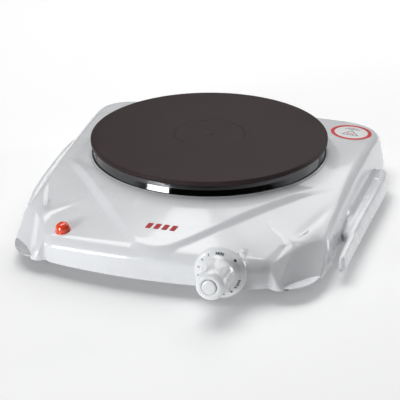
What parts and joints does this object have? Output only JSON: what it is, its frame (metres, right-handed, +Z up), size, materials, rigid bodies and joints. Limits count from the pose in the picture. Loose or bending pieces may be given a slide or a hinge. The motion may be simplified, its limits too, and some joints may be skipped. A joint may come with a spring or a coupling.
{
  "type": "electric hot plate burner",
  "caption": "Tabletop electric hot plate with a round cast-iron plate in a chrome spill ring, a low white housing with wing handles, a rotary heat control and a pilot lamp.",
  "frame": {"origin": "on the table under the middle of the outline's bounding box", "axes": "+X to the right seen from the control, +Y to the back, +Z up"},
  "size_m": [0.2748, 0.3072, 0.059],
  "materials": {
    "housing_white": "gloss white lacquer",
    "handle_white": "glossy",
    "knob_white": "glossy",
    "plate_iron": "seasoned, lathe-turned",
    "ring_chrome": "polished",
    "zinc_steel": "zinc plated",
    "screw_steel": "zinc plated",
    "spring_bronze": "rolled strip",
    "brass": "machined",
    "foot_rubber": "matte",
    "gasket_grey": "woven fibre, matte",
    "ceramic": "unglazed ceramic",
    "cement": "dry cement",
    "lens_red": "translucent",
    "lamp_glass": "clear",
    "gland_black": "moulded",
    "lead_sleeve": "silicone sleeve",
    "label_red": "printed label"
  },
  "bodies": {
    "housing": {"top_shell": "housing_white", "left_handle": "handle_white", "right_handle": "handle_white", "handle_screws": "screw_steel", "base_plate": "zinc_steel", "base_screws": "screw_steel", "foot_front_left": "foot_rubber", "foot_front_right": "foot_rubber", "foot_rear_left": "foot_rubber", "foot_rear_right": "foot_rubber", "hotplate_casting": "plate_iron", "heating_element_outer": "zinc_steel", "heating_element_inner": "zinc_steel", "insulating_cement": "cement", "plate_bottom_cover": "zinc_steel", "centre_stud": "screw_steel", "mounting_bridge": "zinc_steel", "bridge_washer": "screw_steel", "bridge_nut": "screw_steel", "heat_shield": "zinc_steel", "thermal_cutout": "zinc_steel", "plate_terminal_block": "ceramic", "plate_terminals": "brass", "ring_gasket": "gasket_grey", "spill_ring": "ring_chrome", "knob_bezel": "knob_white", "control_screws": "screw_steel", "thermostat_bracket": "zinc_steel", "thermostat_bush": "brass", "ceramic_spacers": "ceramic", "upper_contact_spring": "spring_bronze", "lower_contact_spring": "spring_bronze", "bimetal_strip": "spring_bronze", "contact_points": "brass", "stack_rivet": "screw_steel", "pilot_lens": "lens_red", "neon_lamp": "lamp_glass", "lamp_clip": "zinc_steel", "cord_gland": "gland_black", "gland_nut": "gland_black", "mains_terminal_strip": "ceramic", "terminal_screws": "screw_steel", "earth_tab": "zinc_steel", "internal_leads": "lead_sleeve", "caution_sticker": "label_red", "front_badge": "label_red"},
    "control_knob": {"knob": "knob_white", "knob_cap": "knob_white", "knob_spring_clip": "zinc_steel", "thermostat_spindle": "brass"},
    "push_pin": {"adjusting_pin": "screw_steel"}
  },
  "joints": [
    {"name": "knob_turn", "type": "hinge", "parent": "housing", "child": "control_knob", "pos_m": [0.051, -0.11855, 0.0236], "axis": [0, 0.9925, -0.1219], "range_deg": [0, 290]},
    {"name": "pin_slide", "type": "slide", "parent": "housing", "child": "push_pin", "axis": [0, 0.9925, -0.1219], "range_m": [0, 0.0008]}
  ],
  "couplings": [
    {"joint": "pin_slide", "follows": "knob_turn", "m_per_rad": 0.00015}
  ]
}
